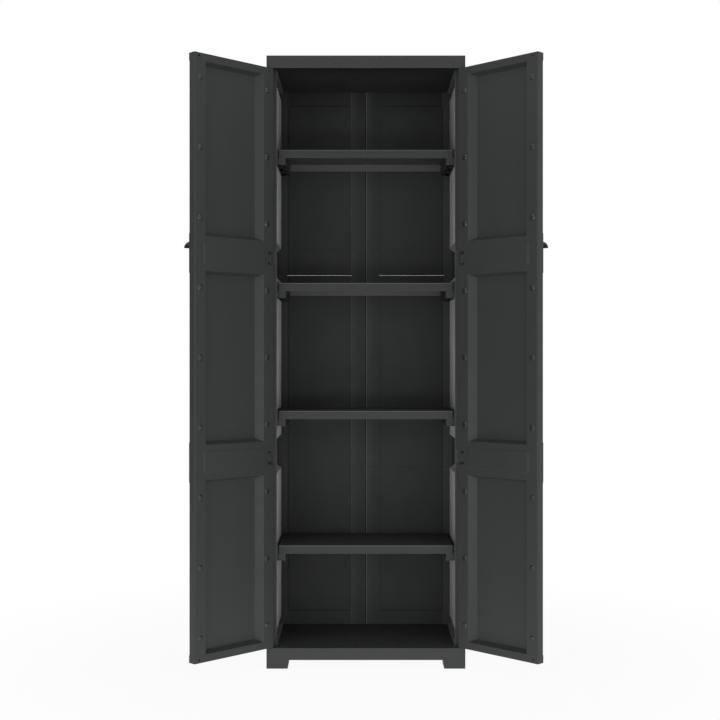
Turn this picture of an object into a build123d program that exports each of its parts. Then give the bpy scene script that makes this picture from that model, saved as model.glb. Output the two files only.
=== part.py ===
"""Tall two-door plastic storage cabinet, moulded panels, doors standing open.

Frame: +X to the cabinet's right seen from the front, +Y to its back, +Z up.
The origin is on the floor, in the middle of the outline with the doors open.
"""
from build123d import *
from math import cos, radians, sin
import os

# Body, in millimetres
WIDTH = 600.0
DEPTH = 370.0
HEIGHT = 1848.5
SHEET = 2.0
RIB = 1.6

# Base and roof
FOOT_HEIGHT = 26.0
FOOT_WIDTH = 68.0
FOOT_LENGTH = 72.0
FOOT_DRAFT = 4.0
BASE_BAND = 36.0
ROOF_BAND = 37.5
CAP_WALL = 3.0
CAP_CORNER = 2.5
CAP_EDGE = 1.0
ROOF_BORDER = 32.0
ROOF_SINK = 1.5
NIB_LENGTH = 9.0
NIB_WIDTH = 6.0
NIB_HEIGHT = 0.9

# Doors
DOOR_OPEN = 135.0
DOOR_THICK = 26.0
DOOR_PROUD = 5.0
DOOR_GAP = 1.5
MEET_GAP = 2.0
DOOR_EDGE = 2.5
RIM_WALL = 3.0
STILE = 40.0
END_RAIL = 22.0
MID_RAIL = 100.0
RAIL_OFFSET = 300.0
POCKET = 18.0
POCKET_HINGE_DRAW = 20.0
POCKET_FREE_DRAW = 12.0
POCKET_END_DRAW = 10.0
BEVEL = 45.0
BAND_PROUD = 2.0
BAND_EXTRA = 7.0
PAD_HEIGHT = 62.0
PAD_PROUD = 1.2
PAD_EXTRA = 6.0
INNER_FLANGE = 10.0
CATCH_INSET = 17.0
CATCH_DROP = 6.0
CATCH_RADIUS = 4.5

# Hinges
HINGE_INSET = 8.0
HINGE_EDGE = 7.5
HINGE_REACH = 10.0
HINGE_NOTCH = 40.0
HINGE_LUG = 12.0
EYE_HEIGHT = 24.0
EYE_RADIUS = 7.5
EYE_WEB = 8.0
KNUCKLE_SIDES = 16
SOCKET_SIDES = 8
PIN_RADIUS = 3.0
PIVOT_REACH = 16.0
COLLAR_RADIUS = 7.0

# Door clips and handles
CLIP_RADIUS = 9.7
CLIP_SIDES = 10
CLIP_PROUD = 3.0
CLIP_TAPER = 50.0
CLIP_SHANK = 5.0
CLIP_COUNT = 9
CLIP_HINGE_INSET = 27.0
CLIP_FREE_INSET = 20.0
CLIP_END = 70.0
HANDLE_LENGTH = 88.0
HANDLE_PROUD = 27.0
HANDLE_HEIGHT = 17.0
HANDLE_WALL = 3.0
HANDLE_PLATE = 2.0
HANDLE_MARGIN = 2.5
HANDLE_ABOVE_RAIL = 16.0
HANDLE_PEG = 6.0

# Side panels
SIDE_INSET = 2.0
SIDE_EDGE = 27.5
SIDE_RELIEF = 25.0
SIDE_DRAW = 14.0
SIDE_FRONT_STILE = 32.0
SIDE_REAR_STILE = 83.0
PANEL_RAIL = 107.0
PANEL_END_RAIL = 42.0
TENON_LENGTH = 40.0
TENON_THICK = 9.0
TENON_HEIGHT = 10.0
TENON_COUNT = 3

# Back panels and the strip between them
REAR_SETBACK = 4.0
BACK_FLANGE = 21.5
BACK_RELIEF = 2.0
BACK_DRAW = 8.0
BACK_STILE = 44.0
BACK_OUTER_STILE = 38.0
BACK_RAIL = 115.0
LINE_WIDTH = 1.4
LINE_DEPTH = 0.8
SLIT_HEIGHT = 0.45
SLIT_DROP = 27.8
STRIP_WIDTH = 12.0
STRIP_PROUD = 1.4
STRIP_GROOVE = 1.4
STRIP_WEB = 2.4
STRIP_FLANGE = 9.0

# Shelves and their runners; heights are from the middle of the doors
SHELF_HEIGHTS = (636.5, 229.5, -162.0, -573.5)
SHELF_PLAY = 2.5
SHELF_REAR_GAP = 14.0
SHELF_SETBACK = 54.0
SHELF_SKIRT = 25.0
SHELF_WALL = 3.0
SHELF_EDGE = 2.5
RUNNER_WIDTH = 27.0
RUNNER_HEIGHT = 21.0
RUNNER_REAR = 32.0
RUNNER_LIP = 4.5
RUNNER_LIP_RISE = 4.0
RUNNER_ZIGZAGS = 5
RUNNER_TAB_LENGTH = 18.0
RUNNER_TAB_HEIGHT = 6.0
RUNNER_TAB_REACH = 9.0
RUNNER_TAB_INSET = 35.0

# Clearances
RUN_FIT = 0.06
SEAT_FIT = 0.3
FACE_FIT = 1.0

# Levels worked out from the sizes above
HALF_WIDTH = WIDTH / 2
DECK_Z = FOOT_HEIGHT + BASE_BAND
ROOF_Z = HEIGHT - ROOF_BAND
DOOR_Z0 = DECK_Z + DOOR_GAP
DOOR_Z1 = ROOF_Z - DOOR_GAP
MID_Z = (DOOR_Z0 + DOOR_Z1) / 2
DOOR_HALF = (DOOR_Z1 - DOOR_Z0) / 2
PANEL_HALF = (ROOF_Z - DECK_Z) / 2
HINGE_LEVELS = (MID_Z + RAIL_OFFSET, MID_Z - RAIL_OFFSET)
HINGE_BLOCK = HINGE_NOTCH / 2 + HINGE_LUG
SHELF_LEVELS = [MID_Z + height for height in SHELF_HEIGHTS]

# Places across and along the cabinet
FACE = DOOR_THICK / 2
SKIN = FACE - BAND_PROUD
HINGE_X = HALF_WIDTH - HINGE_INSET
WING = HINGE_X - MEET_GAP / 2
SWING = radians(DOOR_OPEN)
DOOR_REACH = WING * sin(SWING) - FACE * cos(SWING) - FACE + DOOR_PROUD
FRONT_Y = (DOOR_REACH - DEPTH) / 2
BACK_Y = FRONT_Y + DEPTH
HINGE_Y = FRONT_Y + FACE - DOOR_PROUD
SIDE_X = HALF_WIDTH - SIDE_INSET
FIELD_X = SIDE_X - SIDE_RELIEF
SIDE_Y0 = FRONT_Y + FACE + FACE + CLIP_PROUD + FACE_FIT
SIDE_Y1 = BACK_Y - REAR_SETBACK
BACK_SEAT_Y = SIDE_Y1 - SHEET
BACK_FRAME_Y = BACK_SEAT_Y - BACK_FLANGE
TENON_X = SIDE_X - SHEET - TENON_THICK / 2
SHELF_Y0 = FRONT_Y + SHELF_SETBACK
SHELF_Y1 = BACK_FRAME_Y - BACK_RELIEF - SHELF_REAR_GAP
SHELF_HALF = FIELD_X - RUNNER_LIP - SHELF_PLAY
RUNNER_Y1 = SHELF_Y1 - RUNNER_REAR
BODY_LOW = (-HALF_WIDTH, FRONT_Y)
BODY_HIGH = (HALF_WIDTH, BACK_Y)

# The right door's plane: across from the hinge axis to the free edge, up, and inwards
ALONG = Vector(-cos(SWING), -sin(SWING), 0)
INWARD = Vector(-sin(SWING), cos(SWING), 0)
HINGE = Vector(HINGE_X, HINGE_Y, 0)
DOOR = Plane(origin=HINGE, x_dir=ALONG, z_dir=INWARD)


def middle(low, high):
    """The point half way between two corners."""
    return (low[0] + high[0]) / 2, (low[1] + high[1]) / 2


def grown(low, high, amount):
    """Two corners moved apart, or together where the amount is negative."""
    return (low[0] - amount, low[1] - amount), (high[0] + amount, high[1] + amount)


def blocks(plane, corners, amount, mode=Mode.ADD, taper=0.0):
    """Blocks on a plane: the rectangles between pairs of corners, raised along the normal."""
    with BuildSketch(plane) as outline:
        for low, high in corners:
            with Locations(middle(low, high)):
                Rectangle(high[0] - low[0], high[1] - low[1])
    extrude(outline.sketch, amount=amount, taper=taper, mode=mode)


def wall_ring(plane, low, high, wall, amount):
    """A rectangular wall standing on a plane, its outside between two corners."""
    with BuildSketch(plane) as outline:
        with Locations(middle(low, high)):
            Rectangle(high[0] - low[0], high[1] - low[1])
            Rectangle(high[0] - low[0] - 2 * wall, high[1] - low[1] - 2 * wall, mode=Mode.SUBTRACT)
    extrude(outline.sketch, amount=amount)


def rods(plane, centres, radius, amount, mode=Mode.ADD):
    """Round bars or bores on a plane."""
    with BuildSketch(plane) as outline:
        with Locations(*centres):
            Circle(radius)
    extrude(outline.sketch, amount=amount, mode=mode)


def sockets(plane, centres, amount):
    """Flat-sided sockets that grip round pins, cut into a plane."""
    with BuildSketch(plane) as outline:
        with Locations(*centres):
            RegularPolygon(PIN_RADIUS + RUN_FIT, SOCKET_SIDES, major_radius=False)
    extrude(outline.sketch, amount=amount, mode=Mode.SUBTRACT)


def sloped_block(plane, low, high, depth, draw, mode):
    """A block from a rectangle to a smaller one, drawn in by an amount at each end and on both sides."""
    draw_low, draw_high, draw_sides = draw
    far_low = (low[0] + draw_low, low[1] + draw_sides)
    far_high = (high[0] - draw_high, high[1] - draw_sides)
    with BuildSketch(plane) as near:
        with Locations(middle(low, high)):
            Rectangle(high[0] - low[0], high[1] - low[1])
    with BuildSketch(plane.offset(depth)) as far:
        with Locations(middle(far_low, far_high)):
            Rectangle(far_high[0] - far_low[0], far_high[1] - far_low[1])
    loft([near.sketch, far.sketch], ruled=True, mode=mode)


def field_spans(half, end_rail, mid_rail):
    """Bottom and top of the three fields of a panel, between its end rails and two mid rails."""
    low_rail = RAIL_OFFSET - mid_rail / 2
    high_rail = RAIL_OFFSET + mid_rail / 2
    outer = half - end_rail
    spans = ((-outer, -high_rail), (-low_rail, low_rail), (high_rail, outer))
    return [(MID_Z + bottom, MID_Z + top) for bottom, top in spans]


def pressed_fields(mouth, corners, depth, draw):
    """Fields pressed into a sheet: sloped walls and a floor of sheet thickness, away from the mouth."""
    sign = 1 if depth > 0 else -1
    for low, high in corners:
        wide_low, wide_high = grown(low, high, SHEET)
        sloped_block(mouth, wide_low, wide_high, depth + sign * SHEET, draw, Mode.ADD)
    for low, high in corners:
        sloped_block(mouth, low, high, depth, draw, Mode.SUBTRACT)


def both_sides(x, y):
    """A place on the right and its mirror image on the left."""
    return (x, y), (-x, y)


def tenon_corners(side, spare=0.0):
    """Outlines of the tenons along the top and bottom of a side panel, or of their slots."""
    pitch = (SIDE_Y1 - SIDE_Y0) / TENON_COUNT
    corners = []
    for index in range(TENON_COUNT):
        centre_y = SIDE_Y0 + pitch * (index + 0.5)
        low = (side * TENON_X - TENON_THICK / 2, centre_y - TENON_LENGTH / 2)
        high = (side * TENON_X + TENON_THICK / 2, centre_y + TENON_LENGTH / 2)
        corners.append(grown(low, high, spare))
    return corners


def tenon_slots(level, amount):
    """Slots for the tenons of both side panels."""
    slots = tenon_corners(1, SEAT_FIT) + tenon_corners(-1, SEAT_FIT)
    blocks(Plane.XY.offset(level), slots, amount, mode=Mode.SUBTRACT)


def cap_ribs(level, amount):
    """Crossed stiffening ribs in the hollow of the base or the roof."""
    low, high = grown(BODY_LOW, BODY_HIGH, -CAP_WALL)
    ribs = []
    for share in (1 / 3, 2 / 3):
        rib_y = FRONT_Y + DEPTH * share
        ribs.append(((low[0], rib_y - RIB / 2), (high[0], rib_y + RIB / 2)))
    for rib_x in (-WIDTH / 4, 0, WIDTH / 4):
        ribs.append(((rib_x - RIB / 2, low[1]), (rib_x + RIB / 2, high[1])))
    blocks(Plane.XY.offset(level), ribs, amount)


def pivot_bosses(level, length, bore_depth):
    """Bosses that grip the pivot pins of both doors in the base or the roof, open at one end."""
    centres = both_sides(HINGE_X, HINGE_Y)
    bosses = [grown(centre, centre, PIN_RADIUS + CAP_WALL) for centre in centres]
    blocks(Plane.XY.offset(level), bosses, length)
    sockets(Plane.XY.offset(level), centres, bore_depth)


def catch_nibs(level, amount):
    """Low bumps in the doors' running gap that the free corners of the doors click past."""
    nibs = []
    for x, y in both_sides(CATCH_INSET, HINGE_Y):
        nibs.append(((x - NIB_LENGTH / 2, y - NIB_WIDTH / 2), (x + NIB_LENGTH / 2, y + NIB_WIDTH / 2)))
    blocks(Plane.XY.offset(level), nibs, amount, taper=BEVEL)


def foot_outline(level, side_x, side_y, inset, shrink):
    """One level of a foot: it stays at the base's corner and draws in on its inner sides."""
    wide = FOOT_WIDTH - shrink - 2 * inset
    long = FOOT_LENGTH - shrink - 2 * inset
    corner_x = side_x * (HALF_WIDTH - inset)
    corner_y = FRONT_Y + inset if side_y < 0 else BACK_Y - inset
    with BuildSketch(Plane.XY.offset(level)) as outline:
        with Locations((corner_x - side_x * wide / 2, corner_y - side_y * long / 2)):
            Rectangle(wide, long)
        if inset == 0:
            outer_corner = outline.vertices().sort_by_distance((corner_x, corner_y, 0))[0]
            fillet(outer_corner, CAP_CORNER)
    return outline.sketch


def feet(inset, bottom, mode):
    """The four tapered feet, or the hollows inside them."""
    for side_x in (-1, 1):
        for side_y in (-1, 1):
            foot_top = foot_outline(FOOT_HEIGHT, side_x, side_y, inset, 0)
            foot_bottom = foot_outline(bottom, side_x, side_y, inset, FOOT_DRAFT)
            loft([foot_bottom, foot_top], mode=mode)


def base_cap():
    """Floor deck with its band, four hollow feet, ribs, tenon slots, pivot bosses and catch nibs."""
    with BuildPart() as cap:
        blocks(Plane.XY.offset(FOOT_HEIGHT), [(BODY_LOW, BODY_HIGH)], BASE_BAND)
        fillet(cap.edges().filter_by(Axis.Z), CAP_CORNER)
        chamfer(cap.faces().sort_by(Axis.Z)[-1].outer_wire().edges(), CAP_EDGE)
        hollow = grown(BODY_LOW, BODY_HIGH, -CAP_WALL)
        blocks(Plane.XY.offset(FOOT_HEIGHT), [hollow], BASE_BAND - CAP_WALL, mode=Mode.SUBTRACT)
        cap_ribs(DECK_Z - CAP_WALL, CAP_WALL - BASE_BAND)
        feet(0, 0, Mode.ADD)
        feet(CAP_WALL, CAP_WALL, Mode.SUBTRACT)
        pivot_bosses(DECK_Z, -PIVOT_REACH - CAP_WALL, -PIVOT_REACH)
        tenon_slots(DECK_Z, -CAP_WALL)
        catch_nibs(DECK_Z, NIB_HEIGHT)
    return cap


def roof_cap():
    """Roof tray with its band, sunk top, ribs and pivot bosses; the ceiling panel closes it below."""
    hollow_height = ROOF_BAND - ROOF_SINK - CAP_WALL
    with BuildPart() as cap:
        blocks(Plane.XY.offset(ROOF_Z), [(BODY_LOW, BODY_HIGH)], ROOF_BAND)
        fillet(cap.edges().filter_by(Axis.Z), CAP_CORNER)
        chamfer(cap.faces().sort_by(Axis.Z)[-1].outer_wire().edges(), CAP_EDGE)
        sunk = grown(BODY_LOW, BODY_HIGH, -ROOF_BORDER)
        blocks(Plane.XY.offset(HEIGHT), [sunk], -ROOF_SINK, mode=Mode.SUBTRACT, taper=BEVEL)
        hollow = grown(BODY_LOW, BODY_HIGH, -CAP_WALL)
        blocks(Plane.XY.offset(ROOF_Z), [hollow], hollow_height, mode=Mode.SUBTRACT)
        cap_ribs(ROOF_Z + hollow_height, SHEET - hollow_height)
        pivot_bosses(ROOF_Z + SHEET, hollow_height - SHEET, PIVOT_REACH - SHEET)
    return cap


def ceiling_panel():
    """Flat panel in the roof's mouth, slotted for the tenons and bored for the pivot pins."""
    low, high = grown(BODY_LOW, BODY_HIGH, -CAP_WALL - SEAT_FIT)
    with BuildPart() as ceiling:
        blocks(Plane.XY.offset(ROOF_Z), [(low, high)], SHEET)
        tenon_slots(ROOF_Z, SHEET)
        sockets(Plane.XY.offset(ROOF_Z), both_sides(HINGE_X, HINGE_Y), SHEET)
        catch_nibs(ROOF_Z, -NIB_HEIGHT)
    return ceiling


def side_field_corners():
    """Mouths of the side panel's fields, wider than their floors by the draw of their sloped walls."""
    front = SIDE_Y0 + SIDE_FRONT_STILE
    back = SIDE_Y1 - SIDE_REAR_STILE
    spans = field_spans(PANEL_HALF, PANEL_END_RAIL, PANEL_RAIL)
    return [grown((front, bottom), (back, top), SIDE_DRAW - SHEET) for bottom, top in spans]


def runner_tabs(level, spare=0.0):
    """Outlines of the two tabs of the runner under a shelf, or of their slots in the side panel."""
    middle_z = level - SHELF_SKIRT - RUNNER_HEIGHT / 2
    corners = []
    for middle_y in (SHELF_Y0 + RUNNER_TAB_INSET, RUNNER_Y1 - RUNNER_TAB_INSET):
        low = (middle_y - RUNNER_TAB_LENGTH / 2, middle_z - RUNNER_TAB_HEIGHT / 2)
        high = (middle_y + RUNNER_TAB_LENGTH / 2, middle_z + RUNNER_TAB_HEIGHT / 2)
        corners.append(grown(low, high, spare))
    return corners


def knuckle(plane, radius, amount):
    """A many-sided barrel about the right door's hinge axis."""
    with BuildSketch(plane) as outline:
        with Locations((HINGE_X, HINGE_Y)):
            RegularPolygon(radius, KNUCKLE_SIDES)
    extrude(outline.sketch, amount=amount)


def side_panel():
    """Right side panel: outer sheet, flanges, three fields pressed inwards, hinge eyes and tenons."""
    low = (SIDE_Y0, DECK_Z)
    high = (SIDE_Y1, ROOF_Z)
    outside = Plane.YZ.offset(SIDE_X)
    back_notches = []
    for end_z in (DECK_Z, ROOF_Z):
        back_notches.append(((BACK_FRAME_Y - SEAT_FIT, end_z - SHEET), (BACK_SEAT_Y, end_z + SHEET)))
    web = ((HINGE_X - EYE_WEB / 2, HINGE_Y), (HINGE_X + EYE_WEB / 2, SIDE_Y0 + SHEET))
    tab_slots = [slot for level in SHELF_LEVELS for slot in runner_tabs(level, SEAT_FIT)]
    with BuildPart() as panel:
        blocks(outside, [(low, high)], -SHEET)
        wall_ring(outside, low, high, SHEET, -SIDE_EDGE)
        pressed_fields(outside, side_field_corners(), SHEET - SIDE_RELIEF, 3 * (SIDE_DRAW,))
        blocks(outside.offset(-SHEET), back_notches, -SIDE_EDGE, mode=Mode.SUBTRACT)
        blocks(Plane.XY.offset(DECK_Z), tenon_corners(1), -TENON_HEIGHT)
        blocks(Plane.XY.offset(ROOF_Z), tenon_corners(1), TENON_HEIGHT)
        for level in HINGE_LEVELS:
            eye = Plane.XY.offset(level - EYE_HEIGHT / 2)
            knuckle(eye, EYE_RADIUS, EYE_HEIGHT)
            blocks(eye, [web], EYE_HEIGHT)
            rods(eye, [(HINGE_X, HINGE_Y)], PIN_RADIUS + RUN_FIT, EYE_HEIGHT, mode=Mode.SUBTRACT)
        blocks(Plane.YZ.offset(FIELD_X), tab_slots, SHEET, mode=Mode.SUBTRACT)
    return panel


def back_panel():
    """Right half of the back: flanged sheet, one tall field pressed forwards, rail lines and a slit."""
    low = (STRIP_WEB / 2 + SEAT_FIT, DECK_Z)
    high = (SIDE_X - SHEET - SEAT_FIT, ROOF_Z)
    face = Plane.XZ.offset(-BACK_FRAME_Y)
    field_x0 = low[0] + BACK_STILE
    field_x1 = high[0] - BACK_OUTER_STILE
    field = ((field_x0, DECK_Z + PANEL_END_RAIL), (field_x1, ROOF_Z - PANEL_END_RAIL))
    lines = []
    for level in HINGE_LEVELS:
        for line_z in (level - BACK_RAIL / 2, level + BACK_RAIL / 2):
            lines.append(((low[0], line_z - LINE_WIDTH / 2), (high[0], line_z + LINE_WIDTH / 2)))
    with BuildPart() as panel:
        blocks(face, [(low, high)], -SHEET)
        wall_ring(face, low, high, SHEET, -BACK_FLANGE)
        pressed_fields(face.offset(-SHEET), [field], BACK_RELIEF, 3 * (BACK_DRAW,))
        for front in (face, face.offset(BACK_RELIEF)):
            blocks(front, lines, -LINE_DEPTH, mode=Mode.SUBTRACT)
        slit_z = HINGE_LEVELS[0] - SLIT_DROP
        slit_low = (field_x0, slit_z - SLIT_HEIGHT / 2)
        slit_high = (field_x1, slit_z + SLIT_HEIGHT / 2)
        blocks(face.offset(BACK_RELIEF), [(slit_low, slit_high)], -BACK_RELIEF - SHEET, mode=Mode.SUBTRACT)
    return panel


def joint_strip():
    """Upright strip that joins the two back halves: grooved front band, web and rear flange."""
    front_y = BACK_FRAME_Y - STRIP_PROUD
    with BuildPart() as strip:
        with BuildSketch(Plane.XY.offset(DECK_Z)) as section:
            with Locations((0, BACK_FRAME_Y - STRIP_PROUD / 2)):
                Rectangle(STRIP_WIDTH, STRIP_PROUD)
            with Locations((0, BACK_FRAME_Y + BACK_FLANGE / 2)):
                Rectangle(STRIP_WEB, BACK_FLANGE)
            with Locations((0, BACK_SEAT_Y + SHEET / 2)):
                Rectangle(2 * STRIP_FLANGE, SHEET)
            with Locations((0, front_y)):
                Rectangle(STRIP_GROOVE, 2 * STRIP_GROOVE, mode=Mode.SUBTRACT)
        extrude(section.sketch, amount=ROOF_Z - DECK_Z)
    return strip


def shelf_tray(level):
    """One shelf: flat top, a skirt all round and two bearers that rest on the runners' inner edges."""
    low = (-SHELF_HALF, SHELF_Y0)
    high = (SHELF_HALF, SHELF_Y1)
    top = Plane.XY.offset(level)
    hollow = grown(low, high, -SHELF_WALL)
    bearers = []
    for centre_x in (FIELD_X - RUNNER_WIDTH + SHELF_WALL / 2, RUNNER_WIDTH - FIELD_X - SHELF_WALL / 2):
        bearers.append(((centre_x - SHELF_WALL / 2, SHELF_Y0), (centre_x + SHELF_WALL / 2, SHELF_Y1)))
    with BuildPart() as shelf:
        blocks(top, [(low, high)], -SHELF_SKIRT)
        fillet(shelf.faces().sort_by(Axis.Z)[-1].outer_wire().edges(), SHELF_EDGE)
        blocks(top.offset(-SHELF_WALL), [hollow], -SHELF_SKIRT, mode=Mode.SUBTRACT)
        blocks(top.offset(-SHELF_WALL), bearers, SHELF_WALL - SHELF_SKIRT)
    return shelf


def shelf_runner(level):
    """Right runner of a shelf: channel open below with a zigzag rib, an outer lip and two tabs."""
    seat = Plane.XY.offset(level - SHELF_SKIRT)
    low = (FIELD_X - RUNNER_WIDTH, SHELF_Y0)
    high = (FIELD_X, RUNNER_Y1)
    hollow = grown(low, high, -SHEET)
    step = (hollow[1][1] - hollow[0][1]) / RUNNER_ZIGZAGS
    turns = [(hollow[index % 2][0], hollow[0][1] + step * index) for index in range(RUNNER_ZIGZAGS + 1)]
    with BuildPart() as runner:
        blocks(seat, [(low, high)], -RUNNER_HEIGHT)
        blocks(seat.offset(-SHEET), [hollow], -RUNNER_HEIGHT, mode=Mode.SUBTRACT)
        blocks(seat, [((FIELD_X - RUNNER_LIP, low[1]), high)], SHELF_SKIRT + RUNNER_LIP_RISE)
        with BuildSketch(seat.offset(-SHEET)) as zigzag:
            with BuildLine() as path:
                Polyline(*turns)
            trace(path.line, line_width=RIB)
            with Locations(middle(low, high)):
                Rectangle(high[0] - low[0], high[1] - low[1], mode=Mode.INTERSECT)
        extrude(zigzag.sketch, amount=SHEET - RUNNER_HEIGHT)
        blocks(Plane.YZ.offset(FIELD_X), runner_tabs(level), RUNNER_TAB_REACH)
    return runner


def hinge_cuts():
    """Notches and pin sockets for the mid hinges, and bores for the pivots, in the right door's edge."""
    axis = [(HINGE_X, HINGE_Y)]
    bore = PIN_RADIUS + RUN_FIT
    notches = []
    for level in HINGE_LEVELS:
        half = HINGE_NOTCH / 2
        notches.append(((-HINGE_EDGE - FACE_FIT, level - half), (HINGE_REACH, level + half)))
        sockets(Plane.XY.offset(level - HINGE_BLOCK), axis, 2 * HINGE_BLOCK)
    blocks(DOOR.offset(-DOOR_THICK), notches, 2 * DOOR_THICK, mode=Mode.SUBTRACT)
    rods(Plane.XY.offset(DOOR_Z0), axis, bore, PIVOT_REACH, mode=Mode.SUBTRACT)
    rods(Plane.XY.offset(DOOR_Z1), axis, bore, -PIVOT_REACH, mode=Mode.SUBTRACT)


def band_corners():
    """Outlines of the raised bands across the outside of the right door."""
    fields = field_spans(DOOR_HALF, END_RAIL, MID_RAIL + 2 * BAND_EXTRA)
    edges = [DOOR_Z0] + [level for span in fields for level in span] + [DOOR_Z1]
    bands = zip(edges[0::2], edges[1::2])
    return [((-HINGE_EDGE, bottom), (WING, top)) for bottom, top in bands]


def door_outer():
    """Right door's outer shell: a tray with raised bands, notched and bored at the hinge edge."""
    low = (-HINGE_EDGE, DOOR_Z0)
    high = (WING, DOOR_Z1)
    hollow = grown(low, high, -RIM_WALL)
    behind_bands = [grown(corner[0], corner[1], -RIM_WALL) for corner in band_corners()]
    with BuildPart() as shell:
        blocks(DOOR.offset(-SKIN), [(low, high)], SKIN + FACE)
        blocks(DOOR.offset(-SKIN), band_corners(), -BAND_PROUD)
        upright = shell.edges().filter_by(Axis.Z)
        fillet(upright.filter_by(lambda edge: edge.length > DOOR_HALF), DOOR_EDGE)
        blocks(DOOR.offset(SHEET - SKIN), [hollow], DOOR_THICK, mode=Mode.SUBTRACT)
        blocks(DOOR.offset(SHEET - SKIN), behind_bands, -BAND_PROUD, mode=Mode.SUBTRACT)
        hinge_cuts()
        peg_holes = [square_at(centre, HANDLE_PEG + 2 * RUN_FIT) for centre in handle_pegs()]
        blocks(DOOR.offset(-FACE), peg_holes, FACE, mode=Mode.SUBTRACT)
    return shell


def clip_centres():
    """Places of the clips: one column down each stile of the right door."""
    columns = (CLIP_HINGE_INSET - HINGE_EDGE, WING - CLIP_FREE_INSET)
    first = DOOR_Z0 + CLIP_END
    pitch = (DOOR_Z1 - CLIP_END - first) / (CLIP_COUNT - 1)
    return [(across, first + pitch * index) for across in columns for index in range(CLIP_COUNT)]


def square_at(centre, size):
    """Corners of a square about a centre."""
    return grown(centre, centre, size / 2)


def door_inner():
    """Right door's inner shell: three sunk fields, rail pads, hinge blocks, clip holes and catch notches."""
    inset = RIM_WALL + SEAT_FIT
    low = (inset - HINGE_EDGE, DOOR_Z0 + inset)
    high = (WING - inset, DOOR_Z1 - inset)
    face = DOOR.offset(FACE)
    field_low = STILE - HINGE_EDGE
    field_high = WING - STILE
    spans = field_spans(DOOR_HALF, END_RAIL, MID_RAIL)
    fields = [((field_low, bottom), (field_high, top)) for bottom, top in spans]
    block_high = HINGE_REACH + SHEET
    pivot_block = PIVOT_REACH + SHEET
    pads = []
    hinge_blocks = [((low[0], low[1]), (block_high, low[1] + pivot_block)),
                    ((low[0], high[1] - pivot_block), (block_high, high[1]))]
    for level in HINGE_LEVELS:
        pad_low = (field_low - PAD_EXTRA, level - PAD_HEIGHT / 2)
        pads.append((pad_low, (field_high + PAD_EXTRA, level + PAD_HEIGHT / 2)))
        hinge_blocks.append(((low[0], level - HINGE_BLOCK), (block_high, level + HINGE_BLOCK)))
    with BuildPart() as shell:
        blocks(face, [(low, high)], -SHEET)
        wall_ring(face, low, high, SHEET, -INNER_FLANGE)
        pressed_fields(face, fields, -POCKET, (POCKET_HINGE_DRAW, POCKET_FREE_DRAW, POCKET_END_DRAW))
        blocks(face, pads, PAD_PROUD, taper=BEVEL)
        blocks(face, hinge_blocks, SHEET - SKIN - FACE)
        hinge_cuts()
        shank_holes = [square_at(centre, CLIP_SHANK + 2 * RUN_FIT) for centre in clip_centres()]
        blocks(face, shank_holes, -SHEET, mode=Mode.SUBTRACT)
        with BuildSketch(face) as notches:
            for across in (CATCH_INSET - HINGE_EDGE, WING - CATCH_INSET):
                with Locations((across, low[1] + CATCH_DROP), (across, high[1] - CATCH_DROP)):
                    RegularPolygon(CATCH_RADIUS, 3, rotation=-90)
        extrude(notches.sketch, amount=-SHEET, mode=Mode.SUBTRACT)
    return shell


def door_clips():
    """The right door's clips: tapered heads on the inner face, square shanks down to the outer skin."""
    face = DOOR.offset(FACE)
    with BuildPart() as clip:
        with BuildSketch(face) as head:
            RegularPolygon(CLIP_RADIUS, CLIP_SIDES)
        extrude(head.sketch, amount=CLIP_PROUD, taper=CLIP_TAPER)
        blocks(face, [square_at((0, 0), CLIP_SHANK)], SHEET - SKIN - FACE)
    with BuildPart() as group:
        for across, height in clip_centres():
            with Locations(ALONG * across + Vector(0, 0, height)):
                add(clip.part)
    return group


def handle_span():
    """Inner and outer end of the handle along the door, and the height of its lower edge."""
    outer = WING - HANDLE_MARGIN
    return outer - HANDLE_LENGTH, outer, MID_Z + RAIL_OFFSET + HANDLE_ABOVE_RAIL


def handle_pegs():
    """Places of the handle's two fixing pegs on the door."""
    start, end, low_z = handle_span()
    quarter = (end - start) / 4
    peg_z = low_z + HANDLE_HEIGHT / 2
    return [(start + quarter, peg_z), (end - quarter, peg_z)]


def door_handle():
    """Right door's pull: a curved lip over the fingers, on a slim plate pegged to the outer face."""
    start, end, low_z = handle_span()
    section = Plane(origin=HINGE + ALONG * start - INWARD * FACE, x_dir=-INWARD, z_dir=ALONG)
    top_z = low_z + HANDLE_HEIGHT
    inner_tip = HANDLE_PROUD - HANDLE_WALL
    inner_rise = HANDLE_HEIGHT - HANDLE_WALL
    with BuildPart() as pull:
        with BuildSketch(section) as profile:
            with BuildLine():
                EllipticalCenterArc((0, low_z), HANDLE_PROUD, HANDLE_HEIGHT)
                Line((0, top_z), (0, low_z + inner_rise))
                EllipticalCenterArc((0, low_z), inner_tip, inner_rise)
                Line((inner_tip, low_z), (HANDLE_PROUD, low_z))
            make_face()
            with Locations((HANDLE_PLATE / 2, low_z + HANDLE_HEIGHT / 2)):
                Rectangle(HANDLE_PLATE, HANDLE_HEIGHT)
        extrude(profile.sketch, amount=end - start)
        blocks(DOOR.offset(-FACE), [square_at(centre, HANDLE_PEG) for centre in handle_pegs()], SHEET)
    return pull


def hinge_pin(level):
    """A mid hinge's pin, through the door's lugs and the side panel's eye."""
    half = HINGE_BLOCK - SHEET
    with BuildPart() as pin:
        rods(Plane.XY.offset(level - half), [(HINGE_X, HINGE_Y)], PIN_RADIUS, 2 * half)
    return pin


def pivot_pin(level, upwards):
    """A pivot pin from a cap into the end of the door; a collar under the door carries its weight."""
    axis = [(HINGE_X, HINGE_Y)]
    length = 2 * PIVOT_REACH - FACE_FIT
    with BuildPart() as pin:
        rods(Plane.XY.offset(level - upwards * PIVOT_REACH), axis, PIN_RADIUS, upwards * length)
        if upwards > 0:
            knuckle(Plane.XY.offset(level), COLLAR_RADIUS, DOOR_GAP - SEAT_FIT)
    return pin


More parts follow.
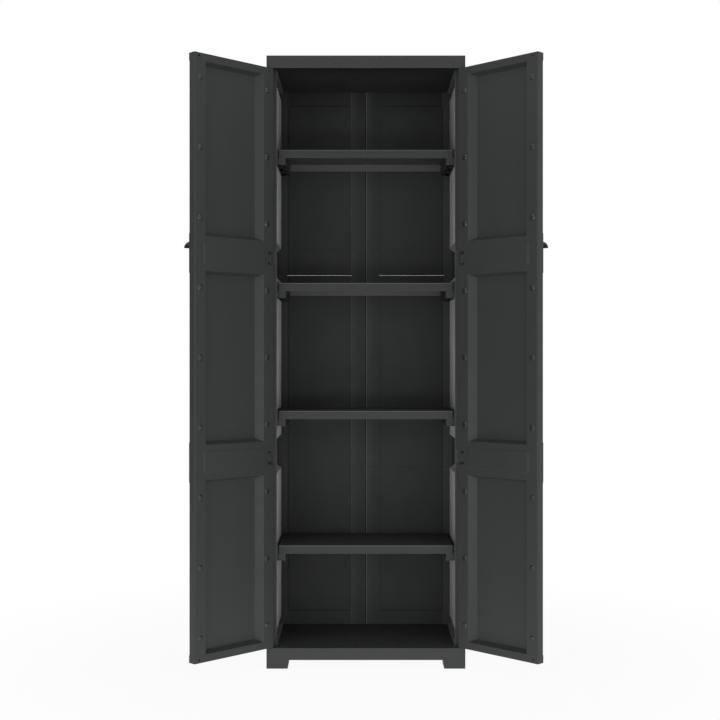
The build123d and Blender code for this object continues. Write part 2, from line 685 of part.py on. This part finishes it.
def write(name, part):
    """Name a finished piece and write its file."""
    part.label = name
    export_step(part, f"parts/{name}.step")


def write_pair(name, part):
    """Write a right-hand piece and its mirror image for the left side."""
    with BuildPart() as other:
        mirror(part, about=Plane.YZ)
    write(f"{name}_right", part)
    write(f"{name}_left", other.part)


os.makedirs("parts", exist_ok=True)

write("base", base_cap().part)
write("roof", roof_cap().part)
write("ceiling_panel", ceiling_panel().part)
write("back_joint_strip", joint_strip().part)
write_pair("side_panel", side_panel().part)
write_pair("back_panel", back_panel().part)
for number, shelf_level in enumerate(SHELF_LEVELS, start=1):
    write(f"shelf_{number}", shelf_tray(shelf_level).part)
    write_pair(f"shelf_{number}_runner", shelf_runner(shelf_level).part)
write_pair("door_outer", door_outer().part)
write_pair("door_inner", door_inner().part)
write_pair("door_clips", door_clips().part)
write_pair("door_handle", door_handle().part)
write_pair("hinge_pin_upper", hinge_pin(HINGE_LEVELS[0]).part)
write_pair("hinge_pin_lower", hinge_pin(HINGE_LEVELS[1]).part)
write_pair("pivot_pin_top", pivot_pin(ROOF_Z, -1).part)
write_pair("pivot_pin_bottom", pivot_pin(DECK_Z, 1).part)
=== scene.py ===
"""Looks of the tall plastic storage cabinet: moulded finishes with some light and shade painted in, soft
studio light, the photograph's camera.
"""
import bpy
from functools import partial
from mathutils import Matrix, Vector


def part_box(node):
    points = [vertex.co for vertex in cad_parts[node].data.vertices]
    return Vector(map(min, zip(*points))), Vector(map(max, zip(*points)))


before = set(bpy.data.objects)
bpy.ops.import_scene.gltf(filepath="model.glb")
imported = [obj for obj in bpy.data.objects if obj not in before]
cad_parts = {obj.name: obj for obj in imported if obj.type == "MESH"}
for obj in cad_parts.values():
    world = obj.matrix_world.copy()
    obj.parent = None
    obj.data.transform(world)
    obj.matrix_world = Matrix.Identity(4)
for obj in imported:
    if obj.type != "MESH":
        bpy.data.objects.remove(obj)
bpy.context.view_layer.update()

# The photograph's frame, in its own pixels
PHOTO_SIZE = 720
FOCAL_PIXELS = 1236.6
HORIZON_Y = 360.8

# The camera: its sensor in millimetres, and its place in metres, the distance from the base's front
SENSOR_MM = 36.0
CAMERA_X = -0.0178
CAMERA_DISTANCE = 3.727
CAMERA_HEIGHT = 0.928

# The floor, in metres: its half width, its gap under the feet, and where shadow and bounced light fade out
FLOOR_HALF = 14.0
FLOOR_CLEAR = 0.0004
SHADOW_FADE = (0.75, 1.6)
BOUNCE_FADE = (0.6, 2.2)

# The black board beside the left door, in metres
FLAG_X = -2.8
FLAG_DEPTH = (-1.0, 0.9)
FLAG_HEIGHT = 2.2

# Light levels of the surroundings
WHITE = (1.0, 1.0, 1.0)
BLACK = (0.0, 0.0, 0.0)
WORLD_LEVEL = 0.46
FLOOR_COLOUR = (0.86, 0.86, 0.86)
FLOOR_GLOW = 0.93
BOUNCE_NEAR = 1.95
BOUNCE_FAR = 1.2

# Lamps: name, place, aim, width and height in metres, and watts
BODY_MIDDLE = (0.0, 0.0, 0.95)
LAMPS = (
    ("front_right", (2.4, -3.5, 1.7), BODY_MIDDLE, 2.2, 1.4, 20),
    ("front_left", (-2.4, -3.5, 1.7), BODY_MIDDLE, 2.2, 1.4, 28),
    ("overhead", (0.0, -1.1, 4.2), (0.0, -0.6, 0.0), 3.0, 2.0, 22),
    ("low_fill", (0.0, -3.2, 0.3), (0.0, 0.0, 0.35), 2.4, 0.4, 16),
)

# Colours of the plastic, and how far its clouds depart from them
ANTHRACITE = (0.0255, 0.0268, 0.0265)
SHELF_COLOUR = (0.0300, 0.0313, 0.0309)
BACK_COLOUR = (0.0315, 0.0330, 0.0326)
STRIP_COLOUR = (0.0375, 0.0392, 0.0388)
# The ceiling panel's colour is darkened well below the rest of the plastic as painted shade
SHADED_CEILING_COLOUR = (0.0095, 0.0100, 0.0099)
CLIP_COLOUR = (0.0150, 0.0158, 0.0156)
PIN_COLOUR = (0.0080, 0.0083, 0.0083)
CLOUD_SHIFT = 0.10

# Gloss: ranges of roughness, specular levels and the sheen of the side panels
PIN_ROUGH = (0.28, 0.40)
CLIP_ROUGH = (0.18, 0.28)
HANDLE_ROUGH = (0.32, 0.44)
SHELF_ROUGH = (0.36, 0.46)
MOULDED_ROUGH = (0.42, 0.54)
MATT_ROUGH = (0.50, 0.62)
SPECULAR = 0.24
SHELF_SPECULAR = 0.12
BACK_SPECULAR = 0.10
CLIP_SPECULAR = 0.45
SIDE_SHEEN = 0.55
SHEEN_ROUGHNESS = 0.22

# Moulded surface, in metres: rounded edges, fine grain and slow sink marks
EDGE_RADIUS = 0.0018
BEVEL_SAMPLES = 6
GRAIN_DEPTH = 0.00004
HANDLE_GRAIN = GRAIN_DEPTH / 2
SMOOTH_GRAIN = GRAIN_DEPTH / 4
SINK_DEPTH = 0.0006

# Noise: the size of its features in metres, and its detail
EDGE_PATCHES = (0.03, 5.0)
CLOUDS = (0.09, 4.0)
SPECKS = (0.012, 6.0)
GLOSS_PATCHES = (0.05, 5.0)
SINKS = (0.16, 1.0)
GRAIN = (0.0007, 2.0)
EDGE_PATCH_RANGE = (0.35, 0.65)
SPECK_RANGE = (0.42, 0.7)
GLOSS_RANGE = (0.3, 0.7)
SEED_STEPS = (3.1, 1.7, 2.3)
FLOW_SCALE = (1.0, 1.0, 0.22)

# Pale edges, partly wear and partly painted highlight: how far the rounded edge turns from the face, and the
# least and most share of paleness
WORN_EDGE_AND_HIGHLIGHT = (0.085, 0.088, 0.088)
EDGE_TURN = (0.985, 0.80)
EDGE_WEAR_AND_HIGHLIGHT = (0.25, 0.80)
STRIP_WEAR_AND_HIGHLIGHT = (0.06, 0.10)

# Painted highlights on the rounds, and dust, by how far a face looks up
PAINTED_ROUND_HIGHLIGHT = (0.110, 0.113, 0.113)
ROUND_RISE = (0.10, 0.35)
ROUND_FALL = (0.90, 0.98)
DUST = (0.115, 0.112, 0.106)
DUST_RISE = (0.9, 1.0)
DUST_SHARE = 0.16

# Painted light on the ceiling panel, under the shelves and on the front of their rear skirts
PAINTED_CEILING_LIGHT = (0.0520, 0.0530, 0.0520)
PAINTED_UNDERSIDE_LIGHT = (0.0520, 0.0535, 0.0530)
PAINTED_SKIRT_LIGHT = (0.0880, 0.0885, 0.0885)
SKIRT_REACH = 0.008
PAINTED_LIGHT_FACING = (-0.6, -0.8)

# Upright bands of painted light and painted highlight on the back panels: from x, to x, and the share at each
PAINTED_BAND_LIGHT = (0.085, 0.088, 0.087)
BAND_FACING = (-0.5, -0.6)
LEFT_LIGHT_BANDS = (
    (-0.285, -0.252, 0.16, 0.16),
    (-0.0480, -0.0447, 0.50, 0.42),
    (-0.0447, -0.020, 0.22, 0.0),
)
RIGHT_LIGHT_BANDS = (
    (0.006, 0.028, 0.25, 0.0),
    (0.252, 0.285, 0.30, 0.30),
)

# Painted shade in the gaps round the hinge pins: its radius, and its heights above and below the pin's middle
PAINTED_GAP_SHADE = (0.0030, 0.0031, 0.0031)
GAP_SHADE_RADIUS = 0.020
GAP_SHADE_START = 0.0120
GAP_SHADE_END = 0.02005
GAP_SHADE_SOFT = 0.0001

# Painted shade high on the back, over this height
PAINTED_TOP_SHADE = (0.0080, 0.0084, 0.0083)
TOP_SHADE_SHARE = 0.48
TOP_SHADE_DEPTH = 0.13

# Joint line on the back strip: painted shadow from start to groove, painted highlight from groove to end,
# along x
SEAM_SHADOW = (0.0050, 0.0053, 0.0052)
SEAM_HIGHLIGHT = (0.0900, 0.0930, 0.0920)
SEAM_START = -0.0012
SEAM_GROOVE = 0.0019
SEAM_END = 0.0052
SEAM_SOFT = 0.0003
SEAM_DEPTH = 0.0020

# Axes by their place in a corner of a box
Y, Z = 1, 2

# Sockets of the Mix node, by number because they share their names
MIX_SHARE = 0
MIX_NUMBERS = (2, 3)
MIX_COLOURS = (6, 7)
MIX_NUMBER_OUT = 0
MIX_COLOUR_OUT = 2


def add_node(tree, kind, inputs=None, **settings):
    """A shader node with its settings, and with values or links on its inputs."""
    node = tree.nodes.new(kind)
    for name, value in settings.items():
        setattr(node, name, value)
    for name, value in (inputs or {}).items():
        socket = node.inputs[name]
        if isinstance(value, bpy.types.NodeSocket):
            tree.links.new(value, socket)
        else:
            socket.default_value = value
    return node


def opaque(colour):
    """A colour with full alpha."""
    return (*colour, 1.0)


def number(tree, operation, *values):
    """A number worked out from one or two others."""
    return add_node(tree, "ShaderNodeMath", dict(enumerate(values)), operation=operation).outputs["Value"]


def multiply(tree, first, second):
    """The product of two numbers."""
    return number(tree, "MULTIPLY", first, second)


def vector(tree, operation, *values):
    """A node that works on one or two vectors."""
    return add_node(tree, "ShaderNodeVectorMath", dict(enumerate(values)), operation=operation)


def axis(tree, source, name):
    """One of the three numbers of a vector."""
    return add_node(tree, "ShaderNodeSeparateXYZ", {"Vector": source}).outputs[name]


def noise(tree, place, size, detail):
    """Soft noise whose features are about the given size, in metres."""
    node = add_node(tree, "ShaderNodeTexNoise", {"Vector": place, "Scale": 1 / size, "Detail": detail})
    return node.outputs["Fac"]


def remap(tree, value, low, high, to_low, to_high):
    """A value moved from one range to another and held inside it."""
    node = add_node(tree, "ShaderNodeMapRange", {
        "Value": value, "From Min": low, "From Max": high, "To Min": to_low, "To Max": to_high})
    return node.outputs["Result"]


def rise(tree, value, start, end):
    """A share that goes from 0 at the start to 1 at the end."""
    return remap(tree, value, start, end, 0.0, 1.0)


def fall(tree, value, start, end):
    """A share that goes from 1 at the start to 0 at the end."""
    return remap(tree, value, start, end, 1.0, 0.0)


def blend_value(tree, share, first, second):
    """A mix of two numbers by a share."""
    inputs = {MIX_SHARE: share, **dict(zip(MIX_NUMBERS, (first, second)))}
    return add_node(tree, "ShaderNodeMix", inputs).outputs[MIX_NUMBER_OUT]


def blend_colour(tree, share, first, second):
    """A mix of two colours by a share."""
    inputs = {MIX_SHARE: share, **dict(zip(MIX_COLOURS, (first, second)))}
    return add_node(tree, "ShaderNodeMix", inputs, data_type="RGBA").outputs[MIX_COLOUR_OUT]


def new_material(name):
    """An empty node material and its tree."""
    material = bpy.data.materials.new(name)
    material.use_nodes = True
    material.node_tree.nodes.clear()
    return material, material.node_tree


def set_surface(tree, shader, output="ShaderNodeOutputMaterial"):
    """Show a shader as the surface of its tree."""
    add_node(tree, output, {"Surface": shader})


def clouded(tree, flow, colour):
    """A colour with slow paler and deeper clouds."""
    pale = tuple(channel * (1 + CLOUD_SHIFT) for channel in colour)
    deep = tuple(channel * (1 - CLOUD_SHIFT) for channel in colour)
    return blend_colour(tree, noise(tree, flow, *CLOUDS), opaque(deep), opaque(pale))


def worn_and_highlighted_edges(tree, place, normal, rounded, wear_and_highlight, finish):
    """A finish with edges painted unevenly pale, partly as wear and partly as painted highlight."""
    turned = vector(tree, "DOT_PRODUCT", rounded, normal).outputs["Value"]
    edge = rise(tree, turned, *EDGE_TURN)
    patchy = remap(tree, noise(tree, place, *EDGE_PATCHES), *EDGE_PATCH_RANGE, *wear_and_highlight)
    return blend_colour(tree, multiply(tree, edge, patchy), finish, opaque(WORN_EDGE_AND_HIGHLIGHT))


def highlighted_rounds(tree, normal, finish):
    """A finish with a painted highlight on the rounds between upright and level faces."""
    up = axis(tree, normal, "Z")
    rounding = multiply(tree, rise(tree, up, *ROUND_RISE), fall(tree, up, *ROUND_FALL))
    return blend_colour(tree, rounding, finish, opaque(PAINTED_ROUND_HIGHLIGHT))


def dusted(tree, place, normal, finish):
    """A finish with specks of dust on level faces."""
    level = remap(tree, axis(tree, normal, "Z"), *DUST_RISE, 0.0, DUST_SHARE)
    specks = rise(tree, noise(tree, place, *SPECKS), *SPECK_RANGE)
    return blend_colour(tree, multiply(tree, level, specks), finish, opaque(DUST))


def ceiling_painted_light(front, rear, tree, place, normal, finish):
    """A finish with painted light that grows from the front to the rear."""
    return blend_colour(tree, rise(tree, axis(tree, place, "Y"), front, rear), finish, opaque(PAINTED_CEILING_LIGHT))


def shelf_painted_light(rear, tree, place, normal, finish):
    """A finish with painted light on the underside and on the front of the rear skirt."""
    below = rise(tree, axis(tree, normal, "Z"), *PAINTED_LIGHT_FACING)
    ahead = rise(tree, axis(tree, normal, "Y"), *PAINTED_LIGHT_FACING)
    skirt = rear - SKIRT_REACH
    at_rear = rise(tree, axis(tree, place, "Y"), skirt, skirt + SEAM_SOFT)
    finish = blend_colour(tree, below, finish, opaque(PAINTED_UNDERSIDE_LIGHT))
    return blend_colour(tree, multiply(tree, ahead, at_rear), finish, opaque(PAINTED_SKIRT_LIGHT))


def band_of_painted_light(light_band, tree, place, normal, finish):
    """A finish with an upright band of painted light on its front, as strong at each side as the band says.
    """
    start, end, start_share, end_share = light_band
    across = axis(tree, place, "X")
    on_front = rise(tree, axis(tree, normal, "Y"), *BAND_FACING)
    begun = rise(tree, across, start, start + SEAM_SOFT)
    inside = multiply(tree, begun, fall(tree, across, end - SEAM_SOFT, end))
    share = multiply(tree, remap(tree, across, start, end, start_share, end_share), inside)
    return blend_colour(tree, multiply(tree, share, on_front), finish, opaque(PAINTED_BAND_LIGHT))


def shade_in_hinge_gaps(centre, tree, place, normal, finish):
    """A finish with black painted shade round a hinge pin, in the gaps above and below its eye."""
    offset = vector(tree, "SUBTRACT", place, centre).outputs["Vector"]
    flat = vector(tree, "MULTIPLY", offset, (1.0, 1.0, 0.0)).outputs["Vector"]
    reach = vector(tree, "LENGTH", flat).outputs["Value"]
    away = number(tree, "ABSOLUTE", axis(tree, offset, "Z"))
    near = fall(tree, reach, GAP_SHADE_RADIUS, GAP_SHADE_RADIUS + GAP_SHADE_SOFT)
    past_eye = rise(tree, away, GAP_SHADE_START, GAP_SHADE_START + GAP_SHADE_SOFT)
    in_notch = fall(tree, away, GAP_SHADE_END, GAP_SHADE_END + GAP_SHADE_SOFT)
    share = multiply(tree, near, multiply(tree, past_eye, in_notch))
    return blend_colour(tree, share, finish, opaque(PAINTED_GAP_SHADE))


def shaded_top(top, tree, place, normal, finish):
    """A finish with painted shade that deepens towards its upper end."""
    share = remap(tree, axis(tree, place, "Z"), top - TOP_SHADE_DEPTH, top, 0.0, TOP_SHADE_SHARE)
    return blend_colour(tree, share, finish, opaque(PAINTED_TOP_SHADE))


def seam_shadow_and_highlight(front, tree, place, normal, finish):
    """A finish with a painted shadow in and beside an upright groove, and a painted highlight on the groove's
    other side.
    """
    across = axis(tree, place, "X")
    deepest = front + SEAM_DEPTH
    on_front = fall(tree, axis(tree, place, "Y"), deepest, deepest + SEAM_SOFT)
    begun = rise(tree, across, SEAM_START, SEAM_START + SEAM_SOFT)
    past_groove = rise(tree, across, SEAM_GROOVE, SEAM_GROOVE + SEAM_SOFT)
    inside = fall(tree, across, SEAM_END - SEAM_SOFT, SEAM_END)
    seam = multiply(tree, multiply(tree, begun, inside), on_front)
    tone = blend_colour(tree, past_groove, opaque(SEAM_SHADOW), opaque(SEAM_HIGHLIGHT))
    return blend_colour(tree, seam, finish, tone)


def moulded_plastic(name, seed, rough, colour=ANTHRACITE, grain_depth=GRAIN_DEPTH, specular=SPECULAR,
                    sheen=0.0, wear_and_highlight=EDGE_WEAR_AND_HIGHLIGHT, round_highlight=False, layers=()):
    """Satin moulded plastic: fine grain, slow sink marks, cloudy colour, pale edges of wear and painted
    highlight, and a little dust.

    The layers go over its colour in their order, by place on the piece and by the way a face looks.
    """
    material, tree = new_material(name)
    own_place = add_node(tree, "ShaderNodeTexCoord").outputs["Object"]
    shift = tuple(seed * step for step in SEED_STEPS)
    place = add_node(tree, "ShaderNodeMapping", {"Vector": own_place, "Location": shift}).outputs["Vector"]
    flow = add_node(tree, "ShaderNodeMapping", {"Vector": place, "Scale": FLOW_SCALE}).outputs["Vector"]
    normal = add_node(tree, "ShaderNodeNewGeometry").outputs["Normal"]
    bevel = add_node(tree, "ShaderNodeBevel", {"Radius": EDGE_RADIUS}, samples=BEVEL_SAMPLES)
    rounded = bevel.outputs["Normal"]

    finish = clouded(tree, flow, colour)
    finish = worn_and_highlighted_edges(tree, place, normal, rounded, wear_and_highlight, finish)
    if round_highlight:
        finish = highlighted_rounds(tree, normal, finish)
    finish = dusted(tree, place, normal, finish)
    for layer in layers:
        finish = layer(tree, own_place, normal, finish)

    roughness = remap(tree, noise(tree, place, *GLOSS_PATCHES), *GLOSS_RANGE, *rough)
    sinks = add_node(tree, "ShaderNodeBump", {
        "Height": noise(tree, flow, *SINKS), "Distance": SINK_DEPTH, "Strength": 1.0, "Normal": rounded})
    grain = add_node(tree, "ShaderNodeBump", {
        "Height": noise(tree, place, *GRAIN), "Distance": grain_depth, "Strength": 1.0,
        "Normal": sinks.outputs["Normal"]})
    shader = add_node(tree, "ShaderNodeBsdfPrincipled", {
        "Base Color": finish, "Roughness": roughness, "Normal": grain.outputs["Normal"],
        "Specular IOR Level": specular, "Sheen Weight": sheen, "Sheen Roughness": SHEEN_ROUGHNESS})
    set_surface(tree, shader.outputs["BSDF"])
    return material


def pin_centres(side):
    """The middles of one door's two hinge pins."""
    boxes = [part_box(f"hinge_pin_{height}_{side}") for height in ("upper", "lower")]
    return [tuple((low + high) / 2 for low, high in zip(*box)) for box in boxes]


def finish_for(node, seed):
    """The finish of a node, by what the piece is."""
    if "_pin_" in node:
        return moulded_plastic(f"smooth_{node}", seed, PIN_ROUGH, PIN_COLOUR, SMOOTH_GRAIN)
    if node.startswith("door_clips"):
        return moulded_plastic(f"clip_{node}", seed, CLIP_ROUGH, CLIP_COLOUR, SMOOTH_GRAIN, CLIP_SPECULAR)
    if node.startswith("door_handle"):
        return moulded_plastic(f"handle_{node}", seed, HANDLE_ROUGH, grain_depth=HANDLE_GRAIN)
    if node.startswith("shelf"):
        layers = [] if "runner" in node else [partial(shelf_painted_light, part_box(node)[1][Y])]
        return moulded_plastic(f"satin_{node}", seed, SHELF_ROUGH, SHELF_COLOUR, specular=SHELF_SPECULAR,
                               round_highlight=True, layers=layers)
    if node == "back_joint_strip":
        low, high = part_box(node)
        layers = [partial(shaded_top, high[Z]), partial(seam_shadow_and_highlight, low[Y])]
        return moulded_plastic(f"strip_{node}", seed, MATT_ROUGH, STRIP_COLOUR, SMOOTH_GRAIN, BACK_SPECULAR,
                               wear_and_highlight=STRIP_WEAR_AND_HIGHLIGHT, layers=layers)
    if node == "ceiling_panel":
        low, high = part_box(node)
        return moulded_plastic(f"matt_{node}", seed, MATT_ROUGH, SHADED_CEILING_COLOUR, specular=BACK_SPECULAR,
                               layers=[partial(ceiling_painted_light, low[Y], high[Y])])
    if node.startswith("back"):
        light_bands = LEFT_LIGHT_BANDS if node.endswith("_left") else RIGHT_LIGHT_BANDS
        layers = [partial(shaded_top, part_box(node)[1][Z]), *(partial(band_of_painted_light, light_band) for light_band in light_bands)]
        return moulded_plastic(f"matt_{node}", seed, MATT_ROUGH, BACK_COLOUR, specular=BACK_SPECULAR,
                               layers=layers)
    if node.startswith(("door_inner", "door_outer")):
        side = node.rsplit("_", 1)[1]
        layers = [partial(shade_in_hinge_gaps, centre) for centre in pin_centres(side)]
        return moulded_plastic(f"moulded_{node}", seed, MOULDED_ROUGH, layers=layers)
    if node.startswith("side_panel"):
        return moulded_plastic(f"grained_{node}", seed, MOULDED_ROUGH, sheen=SIDE_SHEEN)
    return moulded_plastic(f"moulded_{node}", seed, MOULDED_ROUGH)


def dress(node, material):
    """Give a CAD node one material all over."""
    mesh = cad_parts[node].data
    mesh.materials.clear()
    mesh.materials.append(material)


def background_rays(tree):
    """1 for rays that see the background, directly, mirrored or through glass, and 0 for the rest."""
    rays = add_node(tree, "ShaderNodeLightPath")
    seen = number(tree, "MAXIMUM", rays.outputs["Is Camera Ray"], rays.outputs["Is Glossy Ray"])
    return number(tree, "MAXIMUM", seen, rays.outputs["Is Transmission Ray"])


def floor_material():
    """Pale floor that keeps the object's shadow near it and runs into the white background."""
    material, tree = new_material("floor_paper")
    place = add_node(tree, "ShaderNodeTexCoord").outputs["Object"]
    reach = vector(tree, "LENGTH", place).outputs["Value"]
    far = remap(tree, reach, *SHADOW_FADE, FLOOR_GLOW, 1.0)
    bounce = remap(tree, reach, *BOUNCE_FADE, BOUNCE_NEAR, BOUNCE_FAR)
    seen = background_rays(tree)
    glow_share = blend_value(tree, seen, 1.0, far)
    glow_level = blend_value(tree, seen, bounce, 1.0)
    paper = add_node(tree, "ShaderNodeBsdfDiffuse", {"Color": opaque(FLOOR_COLOUR)}).outputs["BSDF"]
    glow = add_node(tree, "ShaderNodeEmission", {"Strength": glow_level}).outputs["Emission"]
    mix = add_node(tree, "ShaderNodeMixShader", {0: glow_share, 1: paper, 2: glow})
    set_surface(tree, mix.outputs["Shader"])
    return material


def add_sheet(name, corners, material):
    """A flat sheet with four corners and one material."""
    mesh = bpy.data.meshes.new(name)
    mesh.from_pydata(corners, [], [(0, 1, 2, 3)])
    mesh.materials.append(material)
    sheet = bpy.data.objects.new(name, mesh)
    bpy.context.scene.collection.objects.link(sheet)
    return sheet


def add_floor():
    """A wide pale floor just under the feet."""
    half = FLOOR_HALF
    corners = [(-half, -half), (half, -half), (half, half), (-half, half)]
    floor = add_sheet("floor", [(x, y, -FLOOR_CLEAR) for x, y in corners], floor_material())


def add_flag():
    """A black board beside the left door, out of the camera's sight, that keeps its free edge dark."""
    material, tree = new_material("flag_cloth")
    set_surface(tree, add_node(tree, "ShaderNodeBsdfDiffuse", {"Color": opaque(BLACK)}).outputs["BSDF"])
    near, far = FLAG_DEPTH
    corners = [(near, 0.0), (far, 0.0), (far, FLAG_HEIGHT), (near, FLAG_HEIGHT)]
    flag = add_sheet("left_flag", [(FLAG_X, y, z) for y, z in corners], material)
    flag.visible_camera = False


def add_world():
    """White surroundings for what is seen directly or mirrored, and a plain level of light on the rest."""
    world = bpy.data.worlds.new("studio")
    bpy.context.scene.world = world
    world.use_nodes = True
    tree = world.node_tree
    tree.nodes.clear()
    strength = remap(tree, background_rays(tree), 0.0, 1.0, WORLD_LEVEL, 1.0)
    background = add_node(tree, "ShaderNodeBackground", {"Color": opaque(WHITE), "Strength": strength})
    set_surface(tree, background.outputs["Background"], "ShaderNodeOutputWorld")


def aim(place, target):
    """The turn that points a lamp or camera from its place at a target."""
    return (Vector(target) - Vector(place)).to_track_quat("-Z", "Y").to_euler()


def add_lamp(name, place, target, width, height, watts):
    """A soft rectangular lamp aimed at a point."""
    light = bpy.data.lights.new(name, "AREA")
    light.shape = "RECTANGLE"
    light.size = width
    light.size_y = height
    light.energy = watts
    lamp = bpy.data.objects.new(name, light)
    lamp.location = place
    lamp.rotation_euler = aim(place, target)
    bpy.context.scene.collection.objects.link(lamp)


def add_camera():
    """The photograph's camera: level, a little left of the middle, and shifted up by its framing."""
    lens = bpy.data.cameras.new("photo_camera")
    lens.sensor_fit = "HORIZONTAL"
    lens.sensor_width = SENSOR_MM
    lens.lens = FOCAL_PIXELS / PHOTO_SIZE * SENSOR_MM
    lens.shift_y = (HORIZON_Y - PHOTO_SIZE / 2) / PHOTO_SIZE
    camera = bpy.data.objects.new("photo_camera", lens)
    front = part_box("base")[0][Y]
    place = (CAMERA_X, front - CAMERA_DISTANCE, CAMERA_HEIGHT)
    camera.location = place
    camera.rotation_euler = aim(place, (CAMERA_X, front, CAMERA_HEIGHT))
    bpy.context.scene.collection.objects.link(camera)
    bpy.context.scene.camera = camera


for seed, node_name in enumerate(sorted(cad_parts)):
    dress(node_name, finish_for(node_name, seed))
add_floor()
add_world()
add_flag()
for lamp_values in LAMPS:
    add_lamp(*lamp_values)
add_camera()
bpy.context.scene.view_settings.view_transform = "Standard"
